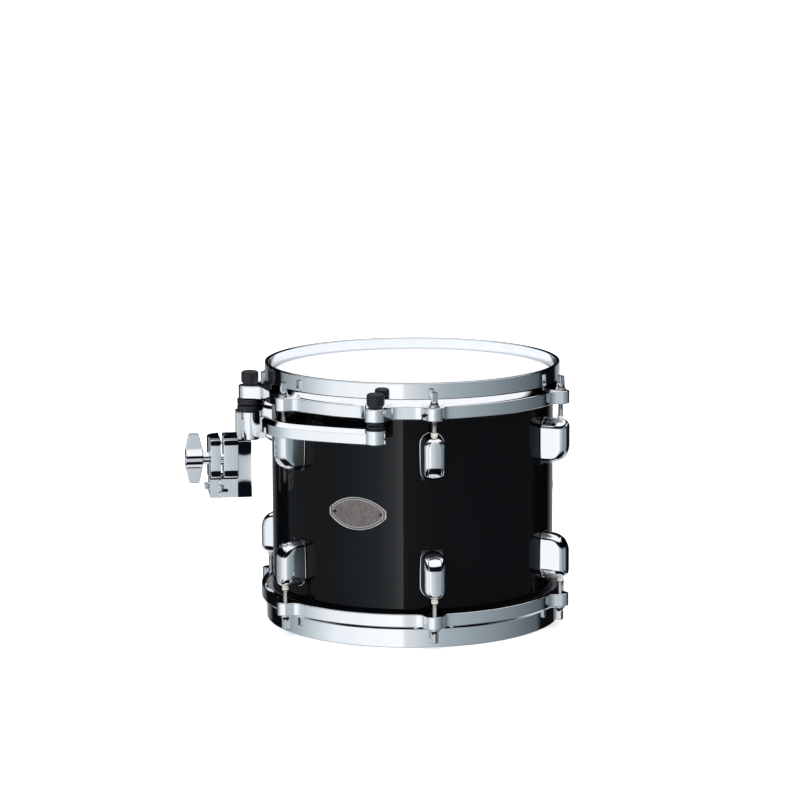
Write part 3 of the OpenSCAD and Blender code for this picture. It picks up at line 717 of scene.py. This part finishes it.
def make_arm():
    """Two mirrored bands with their end bosses, the middle boss and the clamp's pad."""
    half = arm_band().add(arm_neck())
    half.add(round_post(*polar(MOUNT_R, MOUNT_SPREAD), 11.6, ARM_LOW, ARM_HIGH, 1.4))
    other = Shape().add(half).moved(lambda x, y, z: (x, -y, z)).flipped()
    shape = Shape().add(half).add(other)
    shape.add(round_post(MOUNT_R, 0, 10.2, BOSS_LOW, BOSS_HIGH, 1.6))
    corners = [(MOUNT_R, -PAD_HALF_W), (PAD_FACE, -PAD_HALF_W), (PAD_FACE, PAD_HALF_W), (MOUNT_R, PAD_HALF_W)]
    shape.add(slab(rounded(corners, 0.3, 2), PAD_LOW, PAD_HIGH, 0.6, lambda x, y, z: (x, y, z)))
    shape.moved(lambda x, y, z: (-x, -y, z))
    piece("suspension_arm_cast", shape, "chrome", "drum", "suspension_arm")


def make_caps():
    """The rubber caps over the bolts, with a dimple round each bolt's end."""
    low, high = span("upper_caps")[0].z, span("upper_caps")[1].z
    radius, bore, crown = 9.3, 3.2, 2.6
    outline = [(bore, low), (radius - 2.4, low), (radius - 2.0, low + 0.6), (radius - 1.5, low + 2.0)]
    outline += [(radius - 0.5, low + 3.0), (radius, low + 4.2), (radius, high - 3.2)]
    outline += arc(radius - crown, high - crown, crown, 10, 90, 5)
    outline += [(4.9, high), (4.4, high - 0.5), (bore, high - 0.5)]
    shape = Shape()
    for angle in MOUNT_ANGLES:
        shape.add(Shape().lathe(outline, polar(MOUNT_R, angle), 40))
    piece("suspension_caps", shape, "mount_rubber", "drum", "upper_caps")


def make_grommets():
    """Ribbed rubbers between the casting and the hoop's mount ears."""
    seat = TOP - EAR_END
    bore, waist, tallest, ribs = 3.1, 7.6, 13.5, 2
    shape = Shape()
    for angle in MOUNT_ANGLES:
        middle = angle == 180
        base, wide = (BOSS_HIGH, 13.9) if middle else (ARM_HIGH, 9.6)
        body = min(seat - base, tallest)
        pitch = body / ribs
        outline = [(bore, base)]
        if middle:
            outline += [(waist, base), (waist, seat - body - 0.01)]
        for i in range(ribs):
            low = seat - body + i * pitch
            high = low + pitch
            rib = [(waist, low, 0), (wide, low + 0.3), (wide, high - 0.9), (waist + 0.6, high, 0)]
            outline += rounded(rib, 1.1, 3)
        outline += [(5.3, seat + 0.01), (bore, seat + 0.01)]
        shape.add(Shape().lathe(outline, polar(MOUNT_R, angle), 44))
    piece("suspension_rubbers", shape, "mount_rubber", "drum", "lower_grommets")


# ---------------------------------------------------------------- badge

def lens(length, height):
    """A lens-shaped outline with its ends cut square, counterclockwise."""
    bow = (length ** 2 / 4 + height ** 2 / 4) / height
    cut = length / 2 - 3
    reach = math.degrees(math.asin(cut / bow))
    low = arc(0, bow - height / 2, bow, 270 - reach, 270 + reach, 28)
    high = arc(0, height / 2 - bow, bow, 90 - reach, 90 + reach, 28)
    return low + high


# midway between two lugs
BADGE_ANGLE = ROD_ANGLES[0] - 30


def wrapped(u, height, stand):
    """Puts a flat (u, height) on the shell about the badge's middle."""
    return polar(SHELL_R + stand, BADGE_ANGLE + math.degrees(u / SHELL_R), TOP / 2 + height)


def badge_layer(levels):
    """Nested lens outlines at their heights off the shell."""
    rings = [[wrapped(u, h, stand) for u, h in lens(length, height)] for length, height, stand in levels]
    return Shape().loft(rings)


def badge_field(length, height):
    """The plate's slightly domed face, closed across its middle by strips."""
    field = badge_layer([
        (length - 3, height - 2, 0.2), (length - 3, height - 2, 0.75),
        (length - 18, height - 12, 0.8), (length * 0.4, height * 0.25, 0.85),
    ])
    count = len(lens(length, height))
    last = len(field.points) - count
    for i in range(count // 2 - 1):
        strip = (i, i + 1, count - 2 - i, count - 1 - i)
        field.faces.append(tuple(last + k for k in strip))
    return field


def badge_lines(length, height):
    """A raised border and a finer line inside it."""
    border = badge_layer([
        (length, height, 0.02), (length, height, 0.9), (length - 0.7, height - 0.5, 1.35),
        (length - 2.0, height - 1.3, 1.4), (length - 2.8, height - 1.9, 1.1),
        (length - 3.1, height - 2.1, 0.5),
    ])
    line = badge_layer([
        (length - 7.6, height - 5.2, 0.6), (length - 7.8, height - 5.35, 1.0),
        (length - 8.8, height - 6.0, 1.0), (length - 9.0, height - 6.2, 0.6),
    ])
    return border.add(line)


def make_badge():
    """A plain plate with a border, and nothing written on it."""
    length, height = 70.0, 35.0
    piece("badge_field", badge_field(length, height), "badge_metal", "drum", "badge_plate", crease=30)
    piece("badge_border", badge_lines(length, height), "plated_steel", "drum", crease=30)


# ---------------------------------------------------------------- rod clamp

def soften(name, width):
    """Rounds a packed casting's edges."""
    made = nodes[name]
    made.modifiers.new("joined", "WELD").merge_threshold = 0.02 * MM
    bevel = made.modifiers.new("soft edges", "BEVEL")
    bevel.width = width * MM
    bevel.segments = 2
    bevel.limit_method = "ANGLE"
    bevel.angle_limit = math.radians(40)
    bevel.harden_normals = True


def out_from_drum(x, y, z):
    """The clamp is drawn with +X pointing out from the drum."""
    return (-x, y, z)


def casting(plan, z0, z1, hollow, reach, slope=None):
    """A block with a plan outline and round edges, its front scooped in an arc or between two slopes."""
    edge, scooped_depth, arc_steps = 1.0, 3.0, 16
    middle, half = (z0 + z1) / 2, (z1 - z0) / 2
    scoop = half - reach
    front = min(y for x, y in plan)
    levels = [(z0, edge), (z0 + edge * 0.3, edge * 0.3), (z0 + edge, 0)]
    for k in range(-arc_steps, arc_steps + 1):
        levels.append((middle + scoop * math.sin(math.radians(90 * k / arc_steps)), 0))
    levels += [(z1 - edge, 0), (z1 - edge * 0.3, edge * 0.3), (z1, edge)]
    rings = []
    for z, inset in levels:
        t = min(abs(z - middle) / scoop, 1)
        push = hollow * (ease((1 - t) / slope) if slope else 1 - t ** 2)
        ring = offset_inwards(plan, inset)
        rings.append([(x, y + push * max(0, 1 - (y - front) / scooped_depth), z) for x, y in ring])
    return Shape().loft(rings, cap_ends=True).moved(out_from_drum)


CLAMP_LOW = span("clamp_jaw")[0].z
CLAMP_HIGH = span("clamp_jaw")[1].z
# the rod's channel, and the plane where the two halves meet
ROD_X = 205.75
ROD_Y = 6.0
BORE_R = 6.4
PARTING = -span("clamp_bracket")[0].x
FRONT_Y = span("clamp_bracket")[0].y
BACK_Y = span("clamp_bracket")[1].y
# the spine behind the fixed half: its depth, half width and lower end
SPINE_IN = -span("clamp_bracket")[1].x
SPINE_OUT = -span("memory_lock_inner")[1].x
SPINE_HALF_W = 14.0
SPINE_LOW = span("clamp_bracket")[0].z
# the moving half, from its face on the rod to its face on the washer
JAW_IN = -span("clamp_jaw")[1].x
JAW_OUT = -span("wing_washer")[1].x
# how the clamp halves' fronts are hollowed
CLAMP_SCOOP = {"hollow": 1.9, "reach": 1.2, "slope": 0.4}


def bowed(x0, x1, y, bow, radius):
    """A front edge from x0 to x1 that stands out in the middle, with its ends rounded."""
    steps = 8
    edge = [(x0, y + bow, radius)]
    for k in range(1, steps):
        across = 2 * k / steps - 1
        edge.append((x0 + (x1 - x0) * k / steps, y + bow * across ** 2, 0))
    return edge + [(x1, y + bow, radius)]


def channel(side_x, start, end):
    """The rod channel's wall on one half of the clamp, between two angles, with its rounded lips."""
    face = arc(ROD_X, ROD_Y, BORE_R, start, end, 14)
    lips = [(side_x, face[0][1], 0.4), (side_x, face[-1][1], 0.4)]
    return [lips[0]] + [(x, y, 0) for x, y in face[1:-1]] + [lips[1]]


def make_fixed_half():
    """The bracket: a waisted backbone down the drum side, with the fixed clamp half on it."""
    inside = SPINE_OUT - 1.0
    open_angle = math.degrees(math.acos((ROD_X - PARTING) / BORE_R))
    corners = bowed(inside, PARTING, FRONT_Y, 0.45, 0.9)
    corners += channel(PARTING, 180 + open_angle, 180 - open_angle)
    corners += [(PARTING, BACK_Y, 1.6), (inside, BACK_Y, 0.5)]
    shape = casting(rounded(corners, 1.0, 4), CLAMP_LOW, CLAMP_HIGH, **CLAMP_SCOOP)
    corners = bowed(SPINE_IN, SPINE_OUT, -SPINE_HALF_W, 0.4, 0.9)
    corners += [(SPINE_OUT, SPINE_HALF_W, 1.0), (SPINE_IN, SPINE_HALF_W, 1.0)]
    shape.add(casting(rounded(corners, 1.0, 4), SPINE_LOW, BOSS_LOW, 5.4, 0.8))
    corners = [(PAD_FACE, -PAD_HALF_W), (SPINE_OUT, -PAD_HALF_W)]
    corners += [(SPINE_OUT, SPINE_HALF_W), (PAD_FACE, SPINE_HALF_W)]
    shape.add(casting(rounded(corners, 0.8, 4), 190.0, BOSS_HIGH, 0.0, 1.2))
    piece("clamp_bracket_cast", shape, "chrome", "drum", "clamp_bracket")


def make_jaw():
    """The moving half, bulging round the rod's channel at its back."""
    bulge_r, back = 15.3, 21.2
    open_angle = math.degrees(math.acos((JAW_IN - ROD_X) / BORE_R))
    corners = bowed(JAW_IN, JAW_OUT, FRONT_Y, 0.4, 1.2) + [(JAW_OUT, -2.5, 3.0)]
    corners += [(x, y, 0) for x, y in arc(ROD_X, ROD_Y, bulge_r, -28, 80, 20)]
    corners += [(JAW_IN, back, 0.5)] + channel(JAW_IN, open_angle, -open_angle)
    shape = casting(rounded(corners, 1.0, 4), CLAMP_LOW, CLAMP_HIGH, **CLAMP_SCOOP)
    piece("clamp_jaw_cast", shape, "chrome", "clamp_jaw", "clamp_jaw")


def along_x(shape, y, z):
    """Turns a lathed shape on its side: its axis runs out from the drum."""
    return shape.moved(lambda a, b, c: (-c, y + a, z + b))


def wing_outline(length, half):
    """One plate of the wing bolt seen from the front: two lobes that narrow towards the hub."""
    near = [(0, 0), (0.5, half * 0.42), (3.4, half * 0.9, 3), (4.6, half, 2.2)]
    side = [(length - x, h, *r) for x, h, *r in near] + near[::-1]
    side += [(x, -h, *r) for x, h, *r in reversed(side[1:-1])]
    return rounded(side, 1.0, 5)


def make_wing_bolt():
    """Shank, collar, hub and wings, on an axis that runs out from the drum."""
    low, high = span("wing_bolt")
    y, z = -8.0, (low.z + high.z) / 2
    inner, collar, hub, tip = -high.x, 219.35, 226.35, -low.x
    shank_r, collar_r, hub_r, plate_half = 4.0, 6.9, 10.8, 2.5
    outline = [(0.01, inner), (shank_r, inner), (shank_r, collar)]
    outline += [(collar_r - 1.0, collar), (collar_r, collar + 0.8), (collar_r, hub)]
    outline += [(hub_r - 0.9, hub), (hub_r, hub + 0.9), (hub_r, tip - 0.9), (hub_r - 0.9, tip), (0.01, tip)]
    shape = along_x(Shape().lathe(outline, steps=48), y, z)
    wing = wing_outline(tip - hub, (high.z - low.z) / 2)
    plate = slab(wing, -plate_half, plate_half, 1.0, lambda a, b, c: (-(hub + a), y + c, z + b))
    shape.add(plate.flipped())
    piece("wing_bolt_cast", shape, "chrome", "wing_bolt", "wing_bolt")


def make_clamp():
    """The rod clamp, and the memory lock's packed halves with softer edges."""
    make_fixed_half()
    make_jaw()
    for name in ("memory_lock_inner", "memory_lock_outer"):
        soften(name, 0.5)
    make_wing_bolt()


# ---------------------------------------------------------------- studio

class Sky:
    """The world's node tree, with short names for its nodes."""

    def __init__(self, name):
        world = bpy.data.worlds.new(name)
        bpy.context.scene.world = world
        world.use_nodes = True
        self.tree = world.node_tree
        self.tree.nodes.clear()

    def node(self, kind, **settings):
        made = self.tree.nodes.new(kind)
        for key, value in settings.items():
            setattr(made, key, value)
        return made

    def link(self, source, target):
        self.tree.links.new(source, target)

    def maths(self, operation, first, second=None):
        """A sum of one or two terms, each a number or a socket."""
        made = self.node("ShaderNodeMath", operation=operation)
        for socket, value in zip(made.inputs, (first, second)):
            if isinstance(value, (int, float)):
                socket.default_value = value
            elif value is not None:
                self.link(value, socket)
        return made.outputs[0]

    def ramp(self, source, stops):
        made = self.node("ShaderNodeValToRGB")
        fill_ramp(made, stops)
        self.link(source, made.inputs["Fac"])
        return made.outputs["Color"]

    def mix(self, kind, first, second):
        made = self.node("ShaderNodeMix", data_type="RGBA", blend_type=kind)
        factor, colour_a, colour_b, result = made.inputs[0], made.inputs[6], made.inputs[7], made.outputs[2]
        factor.default_value = 1.0
        self.link(first, colour_a)
        self.link(second, colour_b)
        return result

    def background(self, colour=None, strength=1.0):
        made = self.node("ShaderNodeBackground")
        made.inputs["Strength"].default_value = strength
        if colour is None:
            made.inputs["Color"].default_value = (1, 1, 1, 1)
        else:
            self.link(colour, made.inputs["Color"])
        return made.outputs[0]


BLACK = (0, 0, 0)
DARK_FLAT = (0.006, 0.008, 0.012)


def bluish(level, blue=1.12):
    """A grey of a level, tinted towards blue."""
    return (level, level * (1 + (blue - 1) * 0.6), level * blue)


def around(stops):
    """Ramp stops from angles about the camera's direction, positive to the right."""
    return [((180 + degrees) / 360, colour) for degrees, colour in stops]


def upright(stops):
    """Ramp stops from elevations in degrees."""
    return [(degrees / 180 + 0.5, colour) for degrees, colour in stops]


def sky_directions(sky):
    """How far round, how high and how far behind the drum each direction of the sky lies."""
    place = sky.node("ShaderNodeTexCoord").outputs["Generated"]
    facing = sky.node("ShaderNodeVectorRotate", rotation_type="Z_AXIS")
    sky.link(place, facing.inputs["Vector"])
    facing.inputs["Angle"].default_value = HEADING
    parts = sky.node("ShaderNodeSeparateXYZ")
    sky.link(facing.outputs["Vector"], parts.inputs["Vector"])
    east, north, up = parts.outputs
    # 0 straight behind, a quarter at the left, a half at the camera, three quarters at the right
    azimuth = sky.maths("ARCTAN2", sky.maths("MULTIPLY", east, -1.0), north)
    azimuth = sky.maths("DIVIDE", azimuth, 2 * math.pi)
    azimuth = sky.maths("FRACT", sky.maths("ADD", azimuth, 1.0))
    height = sky.maths("ARCSINE", up)
    height = sky.maths("ADD", sky.maths("DIVIDE", height, math.pi), 0.5)
    return azimuth, height, north


def studio_world():
    """A white studio that dims towards the right, with dark flats either side of the backdrop."""
    sky = Sky("studio")
    azimuth, height, north = sky_directions(sky)
    walls = sky.ramp(azimuth, around([
        (-180, bluish(0.45)), (-160, bluish(0.2)), (-146, bluish(0.004)), (-124, bluish(0.004)),
        (-120, bluish(0.26, 1.25)), (-96, bluish(0.46, 1.2)), (-64, bluish(0.92, 1.08)),
        (-8, bluish(1.1, 1.02)), (-6, bluish(0.78, 1.08)), (24, bluish(0.40, 1.25)),
        (80, bluish(0.2, 1.3)), (114, bluish(0.09, 1.4)), (120, bluish(0.004)),
        (146, bluish(0.004)), (154, bluish(0.3)), (179.9, bluish(0.6)),
    ]))
    wall_height = sky.ramp(height, upright([
        (-64, BLACK), (-58, DARK_FLAT), (-32, DARK_FLAT), (-29, (0.85, 0.85, 0.86)), (-22, (1, 1, 1)),
        (4, (1, 1, 1)), (8, DARK_FLAT), (33, DARK_FLAT), (34, BLACK),
    ]))
    paper, canopy = (0.8, 0.81, 0.83), (1.05, 1.06, 1.08)
    above_and_below = sky.ramp(height, upright([
        (-90, paper), (-72, paper), (-65, BLACK), (33, BLACK), (37, canopy), (90, canopy),
    ]))
    sweep = (0.75, 0.76, 0.78)
    low_sweep = sky.ramp(height, upright([(-90, sweep), (-30, sweep), (-22, BLACK), (0, BLACK)]))
    behind = sky.node("ShaderNodeMapRange")
    behind.inputs["From Min"].default_value = 0.15
    behind.inputs["From Max"].default_value = 0.4
    sky.link(north, behind.inputs["Value"])
    studio = sky.mix("ADD", sky.mix("MULTIPLY", walls, wall_height), above_and_below)
    studio = sky.mix("LIGHTEN", studio, sky.mix("MULTIPLY", low_sweep, behind.outputs[0]))
    seen = sky.node("ShaderNodeMixShader")
    sky.link(sky.node("ShaderNodeLightPath").outputs["Is Camera Ray"], seen.inputs["Fac"])
    sky.link(sky.background(studio), seen.inputs[1])
    sky.link(sky.background(strength=1.05), seen.inputs[2])
    sky.link(seen.outputs[0], sky.node("ShaderNodeOutputWorld").inputs["Surface"])


def pale_floor():
    """A sheet of white paper that glows a little, so that the drum's shadow on it stays faint."""
    data = bpy.data.meshes.new("floor")
    half = 12.0
    corners = [(-half, -half, 0), (half, -half, 0), (half, half, 0), (-half, half, 0)]
    data.from_pydata(corners, [], [(0, 1, 2, 3)])
    floor = bpy.data.objects.new("floor", data)
    bpy.context.scene.collection.objects.link(floor)
    paper = Surface("paper", Roughness=0.9, Emission_Color=(1, 1, 1, 1), Emission_Strength=0.4)
    paper.colour(paper.noise(3), [(0.3, (0.93, 0.93, 0.93)), (0.7, (0.95, 0.95, 0.95))])
    data.materials.append(paper.material)
    floor.visible_glossy = False


def add_lamp(data):
    lamp = bpy.data.objects.new(data.name, data)
    bpy.context.scene.collection.objects.link(lamp)
    return lamp


def soft_sun():
    """Even light from overhead for what isn't polished."""
    data = bpy.data.lights.new("overhead", "SUN")
    data.energy = 2.2
    data.angle = math.radians(110)
    lamp = add_lamp(data)
    lamp.rotation_euler = (math.radians(12), math.radians(-8), 0)
    lamp.visible_glossy = False


def shell_softbox():
    """A tall softbox at the front left that only the shell picks up, brightest at its right edge."""
    width, height, distance, middle = 3.0, 2.6, 3.0, -0.35
    data = bpy.data.lights.new("tall_softbox", "AREA")
    data.shape = "RECTANGLE"
    data.size, data.size_y = width, height
    # this power makes the ramp's colours the light's radiance
    data.energy = math.pi * width * height
    data.use_nodes = True
    tree = data.node_tree
    emission = tree.nodes["Emission"]
    emission.inputs["Strength"].default_value = 1.5
    across = tree.nodes.new("ShaderNodeNewGeometry")
    split = tree.nodes.new("ShaderNodeSeparateXYZ")
    fade = tree.nodes.new("ShaderNodeValToRGB")
    fill_ramp(fade, [
        (0.0, BLACK), (0.25, (0.12, 0.3, 0.42)), (0.6, (0.45, 0.75, 0.95)),
        (0.85, (1.5, 1.6, 1.7)), (1.0, (3.3, 3.3, 3.2)),
    ])
    tree.links.new(across.outputs["Parametric"], split.inputs[0])
    tree.links.new(split.outputs["X"], fade.inputs["Fac"])
    tree.links.new(fade.outputs["Color"], emission.inputs["Color"])
    lamp = add_lamp(data)
    target = Vector((0, 0, middle))
    facing = Matrix.Rotation(-HEADING - math.radians(34.0), 3, "Z")
    lamp.location = facing @ Vector((0.0, -distance, 0.0)) + target
    lamp.rotation_euler = (target - lamp.location).to_track_quat("-Z", "Y").to_euler()
    shell_only = bpy.data.collections.new("shell_only")
    shell_only.objects.link(nodes["shell"])
    lamp.light_linking.receiver_collection = shell_only


def light_studio():
    """A plain white studio."""
    studio_world()
    pale_floor()
    soft_sun()
    shell_softbox()


bpy.context.scene.view_settings.view_transform = "Standard"
aim_camera()
finish_nodes()
make_hoops()
make_lugs()
make_rods()
make_guides()
make_arm()
make_caps()
make_grommets()
make_badge()
make_clamp()
light_studio()
